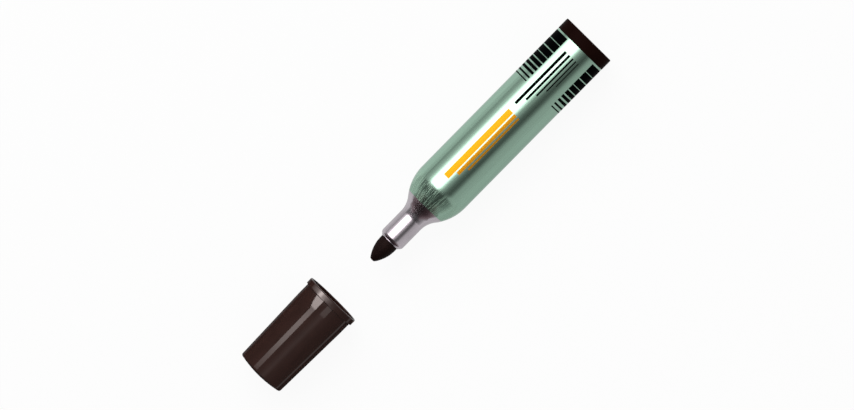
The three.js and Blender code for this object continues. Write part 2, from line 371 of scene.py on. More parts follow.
@dataclass(frozen=True)
class Finish:
    """A surface with one colour and one gloss, which the finishes below add their patterns to.

    Attributes:
        name: The material's name.
        colour: Its linear colour.
        roughness: From 0, polished, to 1, matt.
        metallic: 1 for bare metal and 0 for anything else.
        bending: Its index of refraction, which sets how strongly it mirrors.
        tint: The linear colour that its mirroring is tinted with. On metal only the edges have it.
        coat: How much clear varnish lies on it.
        tones: What its pattern multiplies the colour by at its two ends.
        glosses: What its pattern multiplies the roughness by.
    """

    name: str
    colour: Colour
    roughness: float
    metallic: float = 0.0
    bending: float = 1.45
    tint: Colour = WHITE
    coat: float = 0.0
    tones: Pair = (0.95, 1.05)
    glosses: Pair = (0.85, 1.15)

    def material(self) -> Material:
        """Makes the material.

        Returns:
            The material with its pattern.
        """
        sketch = NodeSketch(bpy.data.materials.new(self.name))
        sketch.feed("Base Color", self.colour)
        sketch.feed("Roughness", self.roughness)
        sketch.feed("Metallic", self.metallic)
        sketch.feed("IOR", self.bending)
        sketch.feed("Specular Tint", self.tint)
        sketch.feed("Coat Weight", self.coat)
        sketch.feed("Coat Roughness", COAT_ROUGHNESS)
        self.detail(sketch)
        return sketch.owner

    def detail(self, sketch: NodeSketch) -> None:
        """Adds the finish's own pattern."""
        raise NotImplementedError

    def toned(self, sketch: NodeSketch, pattern: Socket, span: Pair) -> Socket:
        """Lets the colour follow a pattern, over a stretch of its numbers."""
        ends = [tuple(min(1.0, part * share) for part in self.colour) for share in self.tones]
        return sketch.blend(sketch.range(pattern, span, FULL_SPAN), *ends)

    def glossed(self, sketch: NodeSketch, pattern: Socket, span: Pair) -> Socket:
        """Lets the roughness follow a pattern, as toned does with the colour."""
        smooth, rough = (self.roughness * share for share in self.glosses)
        return sketch.range(pattern, span, (smooth, rough))


@dataclass(frozen=True)
class DrawnMetal(Finish):
    """Bare aluminium with the fine lines that a drawing die leaves along it.

    A pattern's two sizes are how long and how wide one mark is, here and below. All are in millimetres.
    """

    line: Pair = (7.0, 0.16)
    line_depth: float = 0.0032
    cloud: Pair = (6.0, 3.0)
    tones: Pair = (0.94, 1.06)
    glosses: Pair = (0.8, 1.25)

    def detail(self, sketch: NodeSketch) -> None:
        """Adds lines, gloss that changes from line to line, and drifts of tone.

        Args:
            sketch: The material's nodes.
        """
        lines = sketch.grain(*self.line, detail=3.0, rolled=True)
        cloud = sketch.grain(*self.cloud, seed=4.0)
        sketch.feed("Roughness", self.glossed(sketch, lines, WIDE_SPAN))
        sketch.feed("Base Color", self.toned(sketch, cloud, MIDDLE_SPAN))
        sketch.relief(lines, self.line_depth)


@dataclass(frozen=True)
class Lacquer(Finish):
    """Translucent lacquer over drawn metal. The shoulder, where the metal was necked in, is scored."""

    line: Pair = (16.0, 0.35)
    score: Pair = (4.2, 0.2)
    score_depth: float = 0.006
    # How deep a line is beside a score.
    line_share: float = 0.5
    # Where the scores start along X and where they are at their full strength, in metres.
    score_reach: Pair = FULL_SPAN
    # The stretch of the noise over which a score sets in, and its look. The scores are real relief, but
    # their lighter, less metallic colour is a painted glint.
    score_span: Pair = (0.5, 0.62)
    score_glint_colour: Colour = (0.29, 0.44, 0.33)
    score_metallic: float = 0.35
    score_roughness: float = 0.2

    def detail(self, sketch: NodeSketch) -> None:
        """Adds long faint lines everywhere, and short scores on the shoulder, whose lighter colour is a
        painted glint.

        Args:
            sketch: The material's nodes.
        """
        lines = sketch.grain(*self.line, detail=3.0, rolled=True)
        scores = sketch.grain(*self.score, seed=9.0, rolled=True)
        on_shoulder = sketch.range(sketch.part("X"), self.score_reach, FULL_SPAN)
        scored = sketch.reckon("MULTIPLY", sketch.range(scores, self.score_span, FULL_SPAN), on_shoulder)
        plain = self.toned(sketch, lines, WIDE_SPAN)
        gloss = self.glossed(sketch, lines, WIDE_SPAN)
        rougher = sketch.range(scored, FULL_SPAN, (0.0, self.score_roughness))
        shallow = sketch.range(lines, FULL_SPAN, (0.0, self.line_share))
        deep = sketch.reckon("MULTIPLY", scores, on_shoulder)
        # The scores' lighter colour and lower metallic paint the glints that they catch.
        sketch.feed("Base Color", sketch.blend(scored, plain, self.score_glint_colour))
        sketch.feed("Metallic", sketch.range(scored, FULL_SPAN, (self.metallic, self.score_metallic)))
        sketch.feed("Roughness", sketch.reckon("ADD", gloss, rougher))
        sketch.relief(sketch.reckon("ADD", shallow, deep), self.score_depth)


@dataclass(frozen=True)
class MouldedPlastic(Finish):
    """Moulded plastic with a fine orange-peel skin, whose gloss and tone drift a little."""

    cloud: Pair = (5.0, 3.0)
    tones: Pair = (0.88, 1.12)
    glosses: Pair = (0.85, 1.2)
    skin: float = 0.9
    skin_depth: float = 0.002

    def detail(self, sketch: NodeSketch) -> None:
        """Adds the drift and the skin.

        Args:
            sketch: The material's nodes.
        """
        cloud = sketch.grain(*self.cloud, detail=3.0)
        skin = sketch.grain(self.skin, self.skin, seed=3.0)
        sketch.feed("Base Color", self.toned(sketch, cloud, WIDE_SPAN))
        sketch.feed("Roughness", self.glossed(sketch, cloud, WIDE_SPAN))
        sketch.relief(skin, self.skin_depth)


@dataclass(frozen=True)
class PressedFibre(Finish):
    """Fibres laid along the marker and pressed or bundled together, with pits between them."""

    strand: Pair = (2.2, 0.14)
    strand_depth: float = 0.02
    # The stretch of the noise over which a strand dries and gets lighter.
    strand_span: Pair = (0.42, 0.68)
    tones: Pair = (1.0, 2.4)
    # How wide a pit is, and how deep it is beside a strand.
    pit: float = 0.25
    pit_share: float = 0.5

    def detail(self, sketch: NodeSketch) -> None:
        """Adds the strands.

        Args:
            sketch: The material's nodes.
        """
        strands = sketch.grain(*self.strand, detail=3.0)
        pits = sketch.grain(self.pit, self.pit, seed=7.0)
        sketch.feed("Base Color", self.toned(sketch, strands, self.strand_span))
        shallow = sketch.range(pits, FULL_SPAN, (0.0, self.pit_share))
        sketch.relief(sketch.reckon("ADD", strands, shallow), self.strand_depth)


@dataclass(frozen=True)
class PrintedInk(Finish):
    """Ink printed on the lacquer, a little uneven as screen printing is."""

    mottle: float = 0.5
    mottle_depth: float = 0.0015
    tones: Pair = (0.93, 1.07)
    glosses: Pair = (0.9, 1.1)

    def detail(self, sketch: NodeSketch) -> None:
        """Adds the unevenness.

        Args:
            sketch: The material's nodes.
        """
        film = sketch.grain(self.mottle, self.mottle, detail=3.0, seed=2.0)
        sketch.feed("Base Color", self.toned(sketch, film, MIDDLE_SPAN))
        sketch.feed("Roughness", self.glossed(sketch, film, MIDDLE_SPAN))
        sketch.relief(film, self.mottle_depth)


GREY_GREEN_LACQUER = Lacquer(
    "grey_green_lacquer",
    (0.23, 0.352, 0.277),
    roughness=0.15,
    metallic=0.94,
    tint=(0.62, 0.68, 0.65),
    coat=0.1,
)
BARE_ALUMINIUM = DrawnMetal(
    "bare_aluminium", (0.42, 0.385, 0.415), roughness=0.19, metallic=1.0, tint=(0.8, 0.8, 0.8)
)
BLACK_INK = PrintedInk("black_ink", (0.0008, 0.0008, 0.001), roughness=0.5, bending=1.03)
AMBER_INK = PrintedInk("amber_ink", (0.5, 0.21, 0.005), roughness=0.3, metallic=0.38, tint=(0.8, 0.5, 0.08))
PLUG_PLASTIC = MouldedPlastic("plug_brown", (0.0105, 0.0038, 0.003), roughness=0.34, bending=1.025)
CAP_PLASTIC = MouldedPlastic(
    "cap_brown", (0.0275, 0.0102, 0.0075), roughness=0.07, bending=1.42, tint=(1.0, 0.88, 0.85)
)
SEAL_PLASTIC = MouldedPlastic("natural_seal", (0.73, 0.71, 0.65), roughness=0.5, tones=(0.97, 1.03))
HOLDER_PLASTIC = MouldedPlastic("natural_holder", (0.69, 0.66, 0.6), roughness=0.55, tones=(0.97, 1.03))
TUBE_PLASTIC = MouldedPlastic("natural_tube", (0.77, 0.76, 0.7), roughness=0.45, tones=(0.97, 1.03))
FILM_PLASTIC = MouldedPlastic("milky_film", (0.62, 0.66, 0.64), roughness=0.3, tones=(0.95, 1.05))
NIB_FELT = PressedFibre("inked_nib", (0.006, 0.0021, 0.0017), roughness=0.6, bending=1.12)
INK_FIBRE = PressedFibre("inked_bundle", (0.02, 0.015, 0.012), roughness=0.9, strand=(12.0, 0.3))


def put_in_scene(name: str, mesh: Mesh, material: Material) -> Piece:
    """Makes an object of a mesh.

    Args:
        name: The object's name.
        mesh: Its mesh, already in place.
        material: Its material.

    Returns:
        The object.
    """
    data = bpy.data.meshes.new(name)
    mesh.to_mesh(data)
    mesh.free()
    data.materials.append(material)
    made = bpy.data.objects.new(name, data)
    bpy.context.scene.collection.objects.link(made)
    return made


def settle(
    name: str,
    mesh: Mesh,
    finish: Finish,
    body: Body,
    stands_for: str | None = None,
) -> Piece:
    """Makes a finished piece of a mesh and hangs it on its body.

    Args:
        name: The piece's name.
        mesh: Its mesh, already in place.
        finish: The finish that it is dressed in.
        body: The body that it moves with.
        stands_for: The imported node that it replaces, if it replaces one.

    Returns:
        The piece.
    """
    for face in mesh.faces:
        face.smooth = True
    piece = put_in_scene(name, mesh, finish.material())
    piece.data.set_sharp_from_angle(angle=SHARP_ANGLE)
    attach(piece, body.value)
    if stands_for is not None:
        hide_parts(stands_for)
    return piece


def ribs(mesh: Mesh, spindle: Spindle, outline: list[Pair], thickness: float, count: int) -> None:
    """Adds flat ribs that stand out from a spindle, evenly round it.

    Args:
        mesh: The mesh that gets the ribs.
        spindle: The line that they stand out from.
        outline: A rib's corners, along the spindle and out from it, in millimetres.
        thickness: How thick a rib is, in millimetres.
        count: How many ribs there are.
    """
    half = Vector((0.0, thickness * MM / 2, 0.0))
    for rib in range(count):
        corners = [mesh.verts.new(spindle.spot(*place) - half) for place in outline]
        made = bmesh.ops.extrude_face_region(mesh, geom=[mesh.faces.new(corners)], use_keep_orig=True)
        moved = only(made["geom"], Vert)
        bmesh.ops.translate(mesh, verts=moved, vec=half * 2)
        faces = {face for corner in corners + moved for face in corner.link_faces}
        bmesh.ops.recalc_face_normals(mesh, faces=list(faces))
        turn = Matrix.Rotation(rib * TURN / count, 3, "X")
        bmesh.ops.rotate(mesh, verts=corners + moved, cent=spindle.spot(0.0, 0.0), matrix=turn)


@dataclass
class Barrel:
    """The drawn tube: bare metal, and the lacquer that ends on its shoulder.

    Sizes are in millimetres, and places are along the marker from its back face, here and below.
    """

    spindle: Spindle
    radius: float = 9.0
    wall: float = 0.45
    back: float = 3.95
    straight_end: float = 62.05
    # How long the convex turn, the concave turn and the straight neck are.
    shoulder: float = 9.4
    throat: float = 4.6
    neck: float = 7.55
    neck_radius: float = 4.125
    # The lip curls in by so many degrees, to the rolled edge of the hole that the nib comes out of.
    lip_radius: float = 1.4
    lip_curl: float = 62.0
    lip_bore: float = 3.105
    bead: float = 0.15
    # How thick the lacquer is, how far its underside sits in the metal, and where it ends.
    coat: float = 0.02
    coat_root: float = 0.015
    coat_end: float = 69.9
    # The share of the shoulder over which its scores gather strength.
    score_rise: float = 1 / 3

    def __post_init__(self) -> None:
        """Works out the two arcs of the shoulder."""
        drop = self.radius - self.neck_radius
        reach = self.shoulder + self.throat
        self.slope = 2 * math.atan(drop / reach)
        self.shoulder_radius = self.shoulder / math.sin(self.slope)
        self.throat_radius = self.throat / math.sin(self.slope)
        self.shoulder_centre = self.radius - self.shoulder_radius
        self.neck_start = self.straight_end + reach
        self.throat_centre = self.neck_radius + self.throat_radius
        self.lip_start = self.neck_start + self.neck
        self.lip_centre = self.neck_radius - self.lip_radius
        self.coat_turn = math.asin((self.coat_end - self.straight_end) / self.shoulder_radius)

    def coat_edge(self, out: float) -> Pair:
        """Gives the place at the lacquer's end that lies so far out from the shoulder's centre."""
        along = self.straight_end + out * math.sin(self.coat_turn)
        return along, self.shoulder_centre + out * math.cos(self.coat_turn)

    def tube(self) -> Mesh:
        """Turns the metal tube, a coat's thickness lower where the lacquer lies on it.

        Returns:
            The tube's mesh.
        """
        curl = math.radians(self.lip_curl)
        inner_lip = self.lip_radius - self.wall
        inner_turn = math.acos((self.lip_bore - self.lip_centre) / inner_lip)
        edge_along = self.lip_start + self.lip_radius * math.sin(curl)
        edge_out = self.lip_centre + self.lip_radius * math.cos(curl)
        bead_turn = math.acos((edge_out - self.lip_bore - self.bead) / self.bead)
        bead_along = edge_along + self.bead * math.sin(bead_turn)
        pen = LathePen(self.spindle, self.back, self.radius - self.coat)
        pen.line(self.straight_end, self.radius - self.coat, rings=20)
        pen.arc(self.straight_end, self.shoulder_centre, self.coat_turn, steps=20)
        pen.line(*self.coat_edge(self.shoulder_radius))
        pen.arc(self.straight_end, self.shoulder_centre, self.slope - self.coat_turn, steps=6)
        pen.arc(self.neck_start, self.throat_centre, -self.slope, steps=20)
        pen.line(self.lip_start, self.neck_radius, rings=6)
        pen.arc(self.lip_start, self.lip_centre, curl, steps=16)
        pen.arc(bead_along, self.lip_bore + self.bead, bead_turn + math.pi, steps=14)
        pen.line(self.lip_start + inner_lip * math.sin(inner_turn), self.lip_bore)
        pen.arc(self.lip_start, self.lip_centre, -inner_turn, steps=8)
        pen.line(self.neck_start, self.neck_radius - self.wall, rings=2)
        pen.arc(self.neck_start, self.throat_centre, self.slope, steps=8)
        pen.arc(self.straight_end, self.shoulder_centre, -self.slope, steps=12)
        pen.line(self.back, self.radius - self.wall, rings=4)
        pen.close()
        return pen.turn()

    def lacquer(self) -> Mesh:
        """Turns the lacquer as a thin closed skin.

        Returns:
            The lacquer's mesh.
        """
        root = self.coat + self.coat_root
        pen = LathePen(self.spindle, self.back, self.radius)
        pen.line(self.straight_end, self.radius, rings=28)
        pen.arc(self.straight_end, self.shoulder_centre, self.coat_turn, steps=24)
        pen.line(*self.coat_edge(self.shoulder_radius - root))
        pen.arc(self.straight_end, self.shoulder_centre, -self.coat_turn, steps=24)
        pen.line(self.back, self.radius - root, rings=4)
        pen.close()
        return pen.turn()

    def build(self) -> list[Piece]:
        """Makes and dresses the tube and its lacquer.

        Returns:
            The two pieces.
        """
        start = self.spindle.spot(self.straight_end, 0.0).x
        full = self.spindle.spot(self.straight_end + self.shoulder * self.score_rise, 0.0).x
        lacquer = replace(GREY_GREEN_LACQUER, score_reach=(start, full))
        return [
            settle("barrel_tube", self.tube(), BARE_ALUMINIUM, Body.MARKER, "barrel"),
            settle("barrel_lacquer", self.lacquer(), lacquer, Body.MARKER),
        ]


@dataclass(frozen=True)
class Patch:
    """One printed rectangle on the barrel.

    Attributes:
        start: Where it starts along the barrel, in millimetres.
        end: Where it ends.
        low_edge: Its first edge round the barrel, in degrees from the top towards -Y.
        high_edge: Its other edge.
    """

    start: float
    end: float
    low_edge: float
    high_edge: float


@dataclass
class Printing:
    """The printing on the lacquer: bars that thin out towards the nib, and plain stripes."""

    spindle: Spindle
    surface: float = 9.0
    # How far the ink stands out of the lacquer, and how far its underside sits in it.
    film: float = 0.012
    root: float = 0.014
    bar_starts: tuple[float, ...] = (4.53, 7.66, 10.52, 12.95, 15.1, 16.95, 18.57, 20.32, 21.75)
    bar_widths: tuple[float, ...] = (2.93, 2.52, 2.23, 1.82, 1.4, 1.04, 0.92, 0.63, 0.42)
    # The two edges of the stretch that the bars leave free, in degrees from the top towards -Y.
    window: Pair = (-41.0, 31.0)
    # Each stripe's end, how far its middle lies round from the top, and its width.
    rule_start: float = 7.5
    rules: tuple[Triple, ...] = (
        (29.0, 2.3, 0.95),
        (26.0, 0.75, 0.75),
        (23.0, -0.65, 0.55),
        (20.0, -1.85, 0.4),
        (17.0, -2.9, 0.25),
    )
    band_start: float = 31.5
    bands: tuple[Triple, ...] = ((59.0, 1.7, 2.0), (56.0, -0.25, 1.1), (53.0, -1.65, 0.6))
    # The longest step of a curve, in degrees, and the fewest steps of one.
    longest_step: float = 1.875
    fewest_steps: int = 2

    def bars(self) -> list[Patch]:
        """Lists the bars, which run round the barrel from one edge of the window to the other."""
        low, high = self.window[1], self.window[0] + math.degrees(TURN)
        return [Patch(at, at + width, low, high) for at, width in zip(self.bar_starts, self.bar_widths)]

    def stripes(self, start: float, rows: tuple[Triple, ...]) -> list[Patch]:
        """Lists stripes along the barrel, each shorter and finer than the one before.

        Args:
            start: Where they all start along the barrel.
            rows: Where each ends, how far its middle lies round from the top, and its width.

        Returns:
            One patch for each stripe.
        """
        patches = []
        for end, middle, width in rows:
            edges = [math.degrees((middle + side * width / 2) / self.surface) for side in (-1, 1)]
            patches.append(Patch(start, end, *edges))
        return patches

    def print_patch(self, mesh: Mesh, patch: Patch) -> None:
        """Adds one patch as a thin closed film of ink.

        Args:
            mesh: The mesh that gets the patch.
            patch: Where it is printed.
        """
        low, high = self.surface - self.root, self.surface + self.film
        places = ((patch.start, low), (patch.start, high), (patch.end, high), (patch.end, low))
        corners = [mesh.verts.new(self.spindle.spot(*place)) for place in places]
        edges = [mesh.edges.new((corners[i - 1], corners[i])) for i in range(len(corners))]
        middle = self.spindle.spot(0.0, 0.0)
        turn = Matrix.Rotation(math.radians(patch.low_edge), 3, "X")
        bmesh.ops.rotate(mesh, verts=corners, cent=middle, matrix=turn)
        span = patch.high_edge - patch.low_edge
        steps = max(self.fewest_steps, math.ceil(span / self.longest_step))
        last = sweep(mesh, corners + edges, middle, ALONG, math.radians(span), steps)
        bmesh.ops.holes_fill(mesh, edges=edges + only(last, bmesh.types.BMEdge), sides=4)

    def printed(self, patches: list[Patch]) -> Mesh:
        """Prints several patches in one mesh.

        Args:
            patches: The patches.

        Returns:
            Their mesh.
        """
        mesh = bmesh.new()
        for patch in patches:
            self.print_patch(mesh, patch)
        bmesh.ops.recalc_face_normals(mesh, faces=mesh.faces[:])
        return mesh

    def build(self) -> list[Piece]:
        """Makes and dresses the printing."""
        groups = (
            ("printed_bars", self.bars(), BLACK_INK),
            ("printed_rules", self.stripes(self.rule_start, self.rules), BLACK_INK),
            ("printed_band", self.stripes(self.band_start, self.bands), AMBER_INK),
        )
        return [settle(name, self.printed(patches), ink, Body.MARKER) for name, patches, ink in groups]


@dataclass
class EndPlug:
    """The plug that closes the barrel's back: a head, and a ribbed hollow spigot in the barrel."""

    spindle: Spindle
    head_radius: float = 9.05
    head_length: float = 3.9
    edge: float = 0.35
    floor: float = 1.6
    floor_edge: float = 0.4
    spigot_radius: float = 8.2
    spigot_length: float = 9.0
    spigot_wall: float = 1.0
    lead_in: float = 0.4
    # The sealing rings, the first of which lies so far in front of the head.
    ring_height: float = 0.3
    ring_width: float = 0.9
    ring_count: int = 3
    first_ring: float = 1.6
    ring_pitch: float = 2.3
    small_edge: float = 0.1
    # The fins leave a round opening free and end behind the spigot's front.
    fin_count: int = 6
    fin_thickness: float = 0.8
    fin_opening: float = 2.5
    fin_setback: float = 1.0

    def body(self) -> Mesh:
        """Turns the head and spigot and adds the fins.

        Returns:
            The plug's mesh.
        """
        front = self.head_length + self.spigot_length
        bore = self.spigot_radius - self.spigot_wall
        pen = LathePen(self.spindle, 0.0, 0.0)
        pen.line(0.0, self.head_radius - 2 * self.edge, rings=6)
        pen.corner(0.0, self.head_radius, self.edge, steps=6)
        pen.line(2 * self.edge, self.head_radius)
        pen.line(self.head_length - 2 * self.edge, self.head_radius, rings=2)
        pen.corner(self.head_length, self.head_radius, self.small_edge)
        pen.line(self.head_length, self.spigot_radius)
        for ring in range(self.ring_count):
            middle = self.head_length + self.first_ring + ring * self.ring_pitch
            top = self.spigot_radius + self.ring_height
            pen.line(middle - self.ring_width / 2, self.spigot_radius)
            pen.corner(middle - self.ring_width / 4, top, self.small_edge)
            pen.corner(middle + self.ring_width / 4, top, self.small_edge)
            pen.line(middle + self.ring_width / 2, self.spigot_radius)
        pen.line(front - self.lead_in, self.spigot_radius)
        pen.line(front, self.spigot_radius - self.lead_in)
        pen.line(front, bore)
        pen.corner(self.floor, bore, self.floor_edge, rings=3)
        pen.line(self.floor, 0.0, rings=4)
        mesh = pen.turn()
        root, tip = self.floor / 2, front - self.fin_setback
        inside, outside = self.fin_opening, bore + self.spigot_wall / 2
        outline = [(root, inside), (tip, inside), (tip, outside), (root, outside)]
        ribs(mesh, self.spindle, outline, self.fin_thickness, self.fin_count)
        return mesh

    def build(self) -> list[Piece]:
        """Makes and dresses the plug."""
        return [settle("plug", self.body(), PLUG_PLASTIC, Body.MARKER, "end_plug")]


@dataclass
class Nib:
    """The bullet nib, a rod of pressed fibre with a slightly uneven skin."""

    spindle: Spindle
    radius: float = 3.025
    tail: float = 56.997
    tail_chamfer: float = 1.0
    # The point's curved side ends with one slope and its nose starts with another, in degrees.
    point_start: float = 85.92
    point_radius: float = 11.1
    point_slope: float = 36.0
    nose_edge: float = 0.45
    nose_slope: float = 70.0
    # How far the skin leaves the true round, and how long one swell of it is.
    unevenness: float = 0.028
    wave: float = 0.7

    def rod(self) -> Mesh:
        """Turns the nib and roughens its skin a little.

        Returns:
            The nib's mesh.
        """
        side = math.radians(self.point_slope)
        nose = math.radians(self.nose_slope)
        edge_along = self.point_start + (self.point_radius - self.nose_edge) * math.sin(side)
        edge_out = self.radius - self.point_radius + (self.point_radius - self.nose_edge) * math.cos(side)
        nose_radius = (edge_out + self.nose_edge * math.cos(nose)) / math.cos(nose)
        nose_along = edge_along - (nose_radius - self.nose_edge) * math.sin(nose)
        pen = LathePen(self.spindle, self.tail, 0.0)
        pen.line(self.tail, self.radius - self.tail_chamfer, rings=3)
        pen.line(self.tail + self.tail_chamfer, self.radius)
        pen.line(self.point_start, self.radius, rings=40)
        pen.arc(self.point_start, self.radius - self.point_radius, side, steps=24)
        pen.arc(edge_along, edge_out, nose - side, steps=8)
        pen.arc(nose_along, 0.0, math.pi / 2 - nose, steps=6)
        mesh = pen.turn(BORE_STEPS)
        middle = self.spindle.spot(0.0, 0.0)
        for vert in mesh.verts:
            outwards = Vector((0.0, vert.co.y, vert.co.z - middle.z))
            if outwards.length > SAME_POINT:
                swell = noise.noise(vert.co / (self.wave * MM)) * self.unevenness * MM
                vert.co += outwards.normalized() * swell
        return mesh

    def build(self) -> list[Piece]:
        """Makes and dresses the nib."""
        return [settle("bullet_nib", self.rod(), NIB_FELT, Body.MARKER, "nib")]


@dataclass
class Cap:
    """The pull-off cap with its ribs, and the soft seal inside. Its places are from its mouth."""

    spindle: Spindle
    length: float = 32.0
    wall: float = 1.0
    end_wall: float = 2.1
    # The collar, the step down from it and the straight band, where the taper starts.
    collar_radius: float = 9.15
    collar_length: float = 1.98
    collar_ramp: float = 0.09
    band_radius: float = 8.63
    band_end: float = 5.85
    # The closed end, its edge and its domed face.
    end_radius: float = 7.975
    corner_radius: float = 0.6
    dome_radius: float = 36.0
    # The wider stretch inside the mouth.
    mouth_radius: float = 8.45
    mouth_depth: float = 1.9
    mouth_ramp: float = 0.8
    # How far corners are rounded.
    end_edge: float = 0.6
    rim_edge: float = 0.3
    mouth_edge: float = 0.2
    step_edge: float = 0.05
    # How far from a corner or an end extra rings keep a surface straight.
    end_ring: float = 0.8
    rim_rings: Pair = (0.34, 0.45)
    collar_rings: Pair = (0.3, 0.1)
    band_rings: Pair = (0.1, 0.25)
    # The ribs that hold the seal. Their sloping fronts sit in the wall by a share of it.
    rib_count: int = 8
    rib_thickness: float = 0.8
    rib_length: float = 12.0
    rib_lead_in: float = 2.0
    rib_root: float = 0.75
    # The seal, which stays a gap off the closed end and the ribs, and the bead in its bore.
    seal_radius: float = 4.975
    seal_bore: float = 4.375
    seal_mouth: float = 11.5
    seal_floor: float = 0.8
    seal_gap: float = 0.05
    seal_edge: float = 0.4
    seal_ring: float = 0.6
    seal_bead: float = 4.175
    bead_ramp: float = 0.5
    bead_length: float = 1.5
    bead_edge: float = 0.2
    lip_edge: float = 0.15

    def shell(self) -> Mesh:
        """Turns the shell and adds its ribs.

        Returns:
            The shell's mesh.
        """
        inner_end = self.length - self.end_wall
        dome_centre = self.length - self.dome_radius
        corner_out = self.end_radius - self.corner_radius
        corner_reach = self.dome_radius - self.corner_radius
        corner_along = dome_centre + math.sqrt(corner_reach**2 - corner_out**2)
        dome_edge = math.asin(corner_out / corner_reach)
        taper = math.atan((self.band_radius - self.end_radius) / (corner_along - self.band_end))
        taper_end = corner_along + self.corner_radius * math.sin(taper)
        step_end = self.collar_length + self.collar_ramp
        pen = LathePen(self.spindle, inner_end, 0.0)
        pen.line(inner_end, self.end_radius - self.wall - self.end_ring, rings=3)
        pen.corner(inner_end, self.end_radius - self.wall, self.end_edge)
        pen.line(self.band_end, self.band_radius - self.wall, rings=8)
        pen.line(self.mouth_depth + self.mouth_ramp, self.band_radius - self.wall, rings=2)
        pen.corner(self.mouth_depth, self.mouth_radius, self.mouth_edge)
        pen.line(self.rim_edge, self.mouth_radius)
        pen.corner(0.0, self.mouth_radius, self.mouth_edge)
        pen.corner(0.0, self.collar_radius, self.rim_edge, steps=6)
        pen.line(self.rim_rings[0], self.collar_radius)
        pen.line(self.rim_rings[1], self.collar_radius)
        pen.line(self.collar_length - self.collar_rings[0], self.collar_radius, rings=2)
        pen.line(self.collar_length - self.collar_rings[1], self.collar_radius)
        pen.corner(self.collar_length, self.collar_radius, self.step_edge)
        pen.corner(step_end, self.band_radius, self.step_edge)
        pen.line(step_end + self.band_rings[0], self.band_radius)
        pen.line(step_end + self.band_rings[1], self.band_radius)
        pen.line(self.band_end, self.band_radius, rings=3)
        pen.line(taper_end, corner_out + self.corner_radius * math.cos(taper), rings=20)
        pen.arc(corner_along, corner_out, math.pi / 2 - dome_edge - taper, steps=10)
        pen.arc(dome_centre, 0.0, dome_edge, steps=10)
        mesh = pen.turn()
        root = inner_end + self.end_wall / 2
        front = inner_end - self.rib_length
        inside = self.seal_radius + self.seal_gap
        outline = [
            (root, inside),
            (root, self.end_radius - self.wall / 2),
            (front, self.band_radius - self.wall * self.rib_root),
            (front + self.rib_lead_in, inside),
        ]
        ribs(mesh, self.spindle, outline, self.rib_thickness, self.rib_count)
        return mesh

    def seal(self) -> Mesh:
        """Turns the inner seal.

        Returns:
            The seal's mesh.
        """
        back = self.length - self.end_wall - self.seal_gap
        floor = back - self.seal_floor
        bead_start = self.seal_mouth + self.bead_ramp
        bead_end = bead_start + self.bead_length
        pen = LathePen(self.spindle, floor, 0.0)
        pen.line(floor, self.seal_bore - self.seal_ring, rings=2)
        pen.corner(floor, self.seal_bore, self.seal_edge)
        pen.line(bead_end + self.bead_ramp, self.seal_bore, rings=4)
        pen.corner(bead_end, self.seal_bead, self.bead_edge)
        pen.corner(bead_start, self.seal_bead, self.bead_edge)
        pen.corner(self.seal_mouth, self.seal_bore, self.lip_edge)
        pen.corner(self.seal_mouth, self.seal_radius, self.lip_edge)
        pen.line(back, self.seal_radius, rings=4)
        pen.line(back, 0.0, rings=3)
        return pen.turn(BORE_STEPS)

    def build(self) -> list[Piece]:
        """Makes and dresses the shell and the seal."""
        return [
            settle("cap_outside", self.shell(), CAP_PLASTIC, Body.CAP, "cap_shell"),
            settle("cap_seal", self.seal(), SEAL_PLASTIC, Body.CAP, "cap_inner_seal"),
        ]


@dataclass
class HiddenPieces:
    """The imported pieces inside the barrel, which keep their shapes and get their finishes."""

    finishes: tuple[tuple[str, Finish], ...] = (
        ("ink_fibre", INK_FIBRE),
        ("fibre_film", FILM_PLASTIC),
        ("air_tube", TUBE_PLASTIC),
        ("nib_holder", HOLDER_PLASTIC),
    )

    def build(self) -> list[Piece]:
        """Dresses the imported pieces.

        Returns:
            The pieces.
        """
        dressed = []
        for name, finish in self.finishes:
            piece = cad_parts[name]
            piece.data.materials.clear()
            piece.data.materials.append(finish.material())
            dressed.append(piece)
        return dressed


class Run(Enum):
    """The direction that a panel's glow changes in."""

    AROUND = "around"
    ALONG = "along"
    ACROSS = "across"


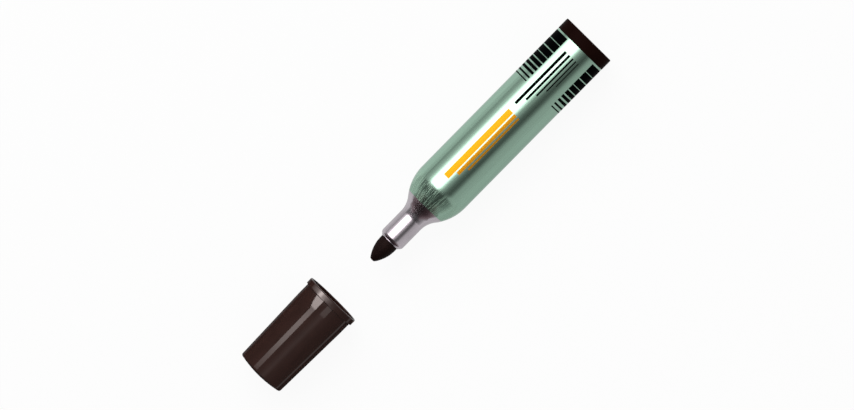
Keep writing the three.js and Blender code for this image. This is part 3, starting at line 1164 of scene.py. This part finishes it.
@dataclass(frozen=True)
class Panel:
    """A studio panel of its own glow, which the camera never sees.

    Attributes:
        name: The panel's name.
        glow: Places from one edge to the other and the glow there. White paper glows with 1. A place
            round the marker is in degrees from the top towards -Y, and any other place is in metres.
        run: The direction that the glow changes in.
        back_glow: The glow of its other side, if that side has its own.
        widening: How much wider its pattern gets round its middle for each metre towards -X.
        tone: The tone of its brightest light.
        dim_tone: The tone of its faintest light.
    """

    name: str
    glow: tuple[Pair, ...]
    _: KW_ONLY
    run: Run
    back_glow: float | None = None
    widening: float = 0.0
    tone: Colour = WHITE
    dim_tone: Colour = WHITE

    def mesh(self) -> Mesh:
        """Makes the panel's mesh, in place."""
        raise NotImplementedError

    def span(self) -> Pair:
        """Gives the two edges that the glow runs between."""
        return self.glow[0][0], self.glow[-1][0]

    def where(self, sketch: NodeSketch) -> Socket:
        """Gives the place that the glow depends on.

        Args:
            sketch: The material's nodes.

        Returns:
            The place, in degrees or metres.
        """
        place = sketch.part("X" if self.run is Run.ALONG else "Y")
        if self.run is Run.AROUND:
            upwards = sketch.reckon("SUBTRACT", sketch.part("Z"), AXIS_HEIGHT)
            angle = sketch.reckon("ARCTAN2", sketch.reckon("MULTIPLY", place, -1.0), upwards)
            place = sketch.reckon("DEGREES", angle)
        if self.widening:
            widest = 1 + self.widening * (TENT_FRONT - TENT_BACK)
            width = sketch.range(sketch.part("X"), (TENT_BACK, TENT_FRONT), (widest, 1.0))
            aside = sketch.reckon("SUBTRACT", place, HIGHLIGHT_MIDDLE)
            place = sketch.reckon("ADD", sketch.reckon("DIVIDE", aside, width), HIGHLIGHT_MIDDLE)
        return place

    def material(self) -> Material:
        """Makes the glow.

        Returns:
            The panel's material.
        """
        sketch = NodeSketch(bpy.data.materials.new(self.name))
        first, last = self.span()
        peak = max(glow for _, glow in self.glow)
        share = sketch.range(self.where(sketch), (first, last), FULL_SPAN)
        colour = sketch.node("ValToRGB", "Color", {"Fac": share})
        stops = colour.node.color_ramp.elements
        while len(stops) < len(self.glow):
            stops.new(1.0)
        for stop, (where, glow) in zip(stops, self.glow):
            stop.position = (where - first) / (last - first)
            level = glow / peak
            tone = Vector(self.dim_tone).lerp(Vector(self.tone), level)
            stop.color = (*(tone * level), 1.0)
        light = sketch.node("Emission", "Emission", {"Color": colour, "Strength": peak})
        if self.back_glow is not None:
            behind = sketch.node("Emission", "Emission", {"Strength": self.back_glow})
            side = sketch.node("NewGeometry", "Backfacing")
            light = sketch.node("MixShader", "Shader", {0: side, 1: light, 2: behind})
        sketch.show(light)
        return sketch.owner


@dataclass(frozen=True)
class Arch(Panel):
    """A panel bent round the marker's axis.

    Attributes:
        radius: How far it is from the axis, in metres.
        reach: Its extent in the other direction, along X in metres or round the axis in degrees.
        taper: How much of its width is left at its end.
    """

    _: KW_ONLY
    radius: float
    reach: Pair
    run: Run = Run.AROUND
    taper: float = 1.0

    def mesh(self) -> Mesh:
        """Swings a straight edge about the axis.

        Returns:
            The mesh, in place.
        """
        places, edges = (self.reach, self.span()) if self.run is Run.AROUND else (self.span(), self.reach)
        mesh = bmesh.new()
        low, span = math.radians(edges[0]), edges[1] - edges[0]
        turn = Matrix.Rotation(low, 3, "X")
        middle = Vector((0.0, 0.0, AXIS_HEIGHT))
        ends = [mesh.verts.new(middle + turn @ Vector((along, 0.0, self.radius))) for along in places]
        parts = ends + [mesh.edges.new(ends)]
        sweep(mesh, parts, middle, ALONG, math.radians(span), round(span / DEGREES_PER_STEP))
        # The taper draws the far end's places in towards the first edge.
        for vert in mesh.verts:
            if vert.co.x == ends[1].co.x:
                spoke = vert.co - middle
                turned = math.atan2(-spoke.y, spoke.z) - low
                vert.co = middle + Matrix.Rotation(turned * (self.taper - 1), 3, "X") @ spoke
        return mesh


@dataclass(frozen=True)
class Sheet(Panel):
    """A flat panel that lies or stands square to the frame.

    Attributes:
        length: Where it starts and ends along X, in metres.
        height: Where it starts and ends upwards, in metres.
    """

    _: KW_ONLY
    length: Pair
    height: Pair
    run: Run = Run.ACROSS

    def mesh(self) -> Mesh:
        """Draws one edge and pushes it to the other side.

        Returns:
            The mesh, in place.
        """
        mesh = bmesh.new()
        ends = [mesh.verts.new((self.length[0], side, self.height[0])) for side in self.span()]
        made = bmesh.ops.extrude_edge_only(mesh, edges=[mesh.edges.new(ends)])
        push = Vector((self.length[1] - self.length[0], 0.0, self.height[1] - self.height[0]))
        bmesh.ops.translate(mesh, verts=only(made["geom"], Vert), vec=push)
        return mesh


TENT_BACK = -0.2
TENT_FRONT = 0.222
HIGHLIGHT_MIDDLE = 30.0
FLOOR_PANELS = (0.0002, 0.0002)
TENT = (
    Arch(
        "tent",
        (
            (-92.0, 0.95), (-75.0, 0.93), (-57.0, 0.86), (-47.0, 0.84), (-41.0, 0.72), (-35.5, 0.42),
            (-30.5, 0.2), (-24.0, 0.12), (-14.0, 0.27), (-6.0, 0.58), (0.0, 0.9), (5.0, 1.7),
            (10.0, 3.9), (15.0, 5.0), (46.0, 5.0), (51.0, 3.0), (55.5, 1.55), (65.0, 0.9),
            (77.0, 0.62), (84.0, 0.42), (92.0, 0.6),
        ),
        radius=1.0,
        reach=(-1.3, TENT_FRONT),
        widening=0.95,
        tone=(1.08, 1.0, 1.03),
    ),
    Arch(
        "tent_front",
        (
            (-92.0, 0.85), (-75.0, 0.55), (-60.0, 0.34), (-45.0, 0.14), (-30.0, 0.08), (10.0, 0.12),
            (50.0, 0.14), (62.0, 0.18), (78.0, 0.28), (92.0, 0.6),
        ),
        radius=1.0,
        reach=(TENT_FRONT, 1.0),
    ),
    Sheet(
        "tent_floor",
        ((-0.25, 0.9), (-0.06, 1.05), (-0.04, 1.25), (-0.02, 1.32), (-0.012, 1.2)),
        length=(-0.09, 0.001),
        height=FLOOR_PANELS,
    ),
    Sheet(
        "tent_floor_front",
        ((-0.25, 0.7), (-0.06, 0.8), (-0.035, 0.85), (-0.02, 1.05), (-0.012, 1.05)),
        length=(0.001, 0.02),
        height=FLOOR_PANELS,
    ),
    Sheet("tent_floor_aside", ((0.012, 0.9), (0.25, 0.8)), length=(0.001, 0.02), height=FLOOR_PANELS),
    Sheet(
        "tent_end",
        ((-1.0, 0.8), (-0.75, 0.4), (-0.5, 0.1), (0.5, 0.08), (0.75, 0.4), (1.0, 0.8)),
        length=(1.0, 1.0),
        height=(0.0, 1.01),
    ),
)
HOOD = (
    Arch(
        "hood",
        (
            (-100.0, 0.12), (-60.0, 0.2), (-28.0, 0.35), (-14.0, 0.75), (-4.0, 0.55), (6.0, 0.35),
            (40.0, 0.3), (65.0, 0.22), (100.0, 0.12),
        ),
        radius=0.045,
        reach=(0.0385, 0.2),
    ),
    Arch(
        "hood_collar",
        (
            (-30.0, 0.4), (-10.0, 0.8), (5.0, 2.2), (20.0, 4.6), (32.0, 8.0), (39.0, 17.0),
            (46.0, 17.0), (52.0, 8.5), (60.0, 4.0), (80.0, 1.6), (92.0, 0.5),
        ),
        radius=0.0445,
        reach=(0.0385, 0.0429),
    ),
    Arch(
        "hood_window",
        ((0.0429, 1.7), (0.0475, 1.5)),
        run=Run.ALONG,
        radius=0.0445,
        reach=(-25.0, -3.0),
    ),
    Arch(
        "hood_window_bright",
        ((0.0429, 11.0), (0.0475, 10.0)),
        run=Run.ALONG,
        radius=0.0445,
        reach=(19.0, 56.0),
        taper=0.58,
    ),
    Arch(
        "hood_slit",
        ((0.0475, 3.8), (0.05, 4.0), (0.055, 4.7), (0.0625, 4.0), (0.0685, 2.5), (0.08, 0.8)),
        run=Run.ALONG,
        radius=0.0445,
        reach=(19.0, 38.0),
    ),
    Sheet(
        "hood_plate",
        (
            (-0.05, 0.5), (-0.035, 0.25), (-0.02, 0.05), (0.0, 0.012), (0.02, 0.05), (0.035, 0.25),
            (0.05, 0.5),
        ),
        length=(0.038, 0.038),
        height=(0.0, 0.055),
        back_glow=0.7,
        dim_tone=(1.4, 0.82, 0.88),
    ),
    Sheet(
        "mat",
        (
            (-0.047, 0.12), (-0.03, 0.06), (-0.02, 0.05), (-0.018, 0.18), (-0.013, 0.18),
            (-0.012, 0.03), (0.0, 0.02), (0.028, 0.05), (0.031, 0.5), (0.044, 0.5), (0.047, 0.1),
        ),
        length=(0.036, 0.2),
        height=(0.0004, 0.0004),
    ),
)


@dataclass
class Studio:
    """The floor, the sky, the panels, the key light and the camera.

    Sizes are in metres, and a place is from the marker's middle.
    """

    floor_size: float = 12.0
    floor_drop: float = 0.00003
    floor_colour: float = 0.9
    # How much of the floor's look is plain white paper, so that its shadow stays soft.
    floor_share: float = 0.93
    # How strongly the sky lights what isn't glossy.
    sky_light: float = 0.45
    key_place: Triple = (-0.3, -0.62, 0.79)
    key_size: float = 0.9
    key_glow: float = 3.2
    camera_place: Triple = (-0.07025, -0.0002, 1.9)
    camera_target: Triple = (-0.0009, 0.00022, 0.0)
    # The frame's direction that runs to the right in the picture.
    camera_right: Triple = (-0.70206, 0.71212, 0.0)
    camera_reach: Pair = (0.1, 50.0)
    # How much the picture spans at the marker, and the camera's sensor width in millimetres.
    picture_width: float = 0.2558
    sensor: float = 36.0

    def stage(self, name: str, mesh: Mesh, material: Material, *unseen: Ray) -> None:
        """Makes an object that belongs to the studio.

        Args:
            name: The object's name.
            mesh: Its mesh, in place.
            material: Its material.
            *unseen: The rays that miss it.
        """
        made = put_in_scene(name, mesh, material)
        for ray in unseen:
            setattr(made, ray.value, False)

    def card(self, size: float, place: Matrix) -> Mesh:
        """Makes a square card.

        Args:
            size: How wide it is, in metres.
            place: Where it is and how it is turned.

        Returns:
            Its mesh.
        """
        mesh = bmesh.new()
        bmesh.ops.create_grid(mesh, x_segments=1, y_segments=1, size=size / 2, matrix=place)
        return mesh

    def floor(self) -> None:
        """Lays the pale floor, which keeps a soft shadow."""
        sketch = NodeSketch(bpy.data.materials.new("pale_floor"))
        paper = sketch.node("BsdfDiffuse", "BSDF", {"Color": (self.floor_colour,) * 3})
        white = sketch.node("Emission", "Emission")
        share = sketch.reckon("MULTIPLY", sketch.seen(), self.floor_share)
        sketch.show(sketch.node("MixShader", "Shader", {0: share, 1: paper, 2: white}))
        card = self.card(self.floor_size, Matrix.Translation((0.0, 0.0, -self.floor_drop)))
        self.stage("pale_floor", card, sketch.owner)

    def sky(self) -> None:
        """Makes the world white where it is seen, and dimmer as a light."""
        sketch = NodeSketch(bpy.data.worlds.new("studio_sky"))
        bpy.context.scene.world = sketch.owner
        back = sketch.tree.nodes["Background"]
        sketch.put(back.inputs["Color"], WHITE)
        level = sketch.range(sketch.seen(), FULL_SPAN, (self.sky_light, 1.0))
        sketch.put(back.inputs["Strength"], level)

    def key(self) -> None:
        """Hangs the soft key light, which gloss doesn't show."""
        sketch = NodeSketch(bpy.data.materials.new("key_light"))
        sketch.show(sketch.node("Emission", "Emission", {"Strength": self.key_glow}))
        place = Vector(self.key_place)
        lift = Vector((0.0, 0.0, AXIS_HEIGHT))
        turn = place.to_track_quat("Z", "Y").to_matrix().to_4x4()
        card = self.card(self.key_size, Matrix.Translation(place + lift) @ turn)
        self.stage("key_light", card, sketch.owner, Ray.CAMERA, Ray.GLOSSY, Ray.SHADOW)

    def camera(self) -> None:
        """Sets the camera at the photograph's angle."""
        lift = Vector((0.0, 0.0, AXIS_HEIGHT))
        place = Vector(self.camera_place) + lift
        target = Vector(self.camera_target) + lift
        back = (place - target).normalized()
        right = Vector(self.camera_right)
        right = (right - back * right.dot(back)).normalized()
        up = back.cross(right)
        data = bpy.data.cameras.new("camera")
        data.sensor_width = self.sensor
        data.lens = self.sensor * (place - target).length / self.picture_width
        data.clip_start, data.clip_end = self.camera_reach
        made = bpy.data.objects.new("camera", data)
        made.matrix_world = Matrix.Translation(place) @ Matrix((right, up, back)).transposed().to_4x4()
        bpy.context.scene.collection.objects.link(made)
        bpy.context.scene.camera = made

    def build(self) -> None:
        """Sets up the studio. Its panels show in gloss alone."""
        self.camera()
        self.floor()
        self.sky()
        self.key()
        for panel in TENT + HOOD:
            unseen = (Ray.CAMERA, Ray.DIFFUSE, Ray.TRANSMISSION, Ray.SHADOW)
            self.stage(panel.name, panel.mesh(), panel.material(), *unseen)
        bpy.context.scene.view_settings.view_transform = "Standard"


def main() -> None:
    """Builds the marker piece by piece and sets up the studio."""
    logging.basicConfig(level=logging.INFO, format="%(name)s: %(message)s")
    marker = Spindle.behind("end_plug")
    cap = Spindle.behind("cap_shell")
    assemblies = (Barrel(marker), Printing(marker), EndPlug(marker), Nib(marker), Cap(cap), HiddenPieces())
    for assembly in assemblies:
        for piece in assembly.build():
            LOG.info("%s: %s has %d faces", type(assembly).__name__, piece.name, len(piece.data.polygons))
    Studio().build()


if __name__ == "__main__":
    main()
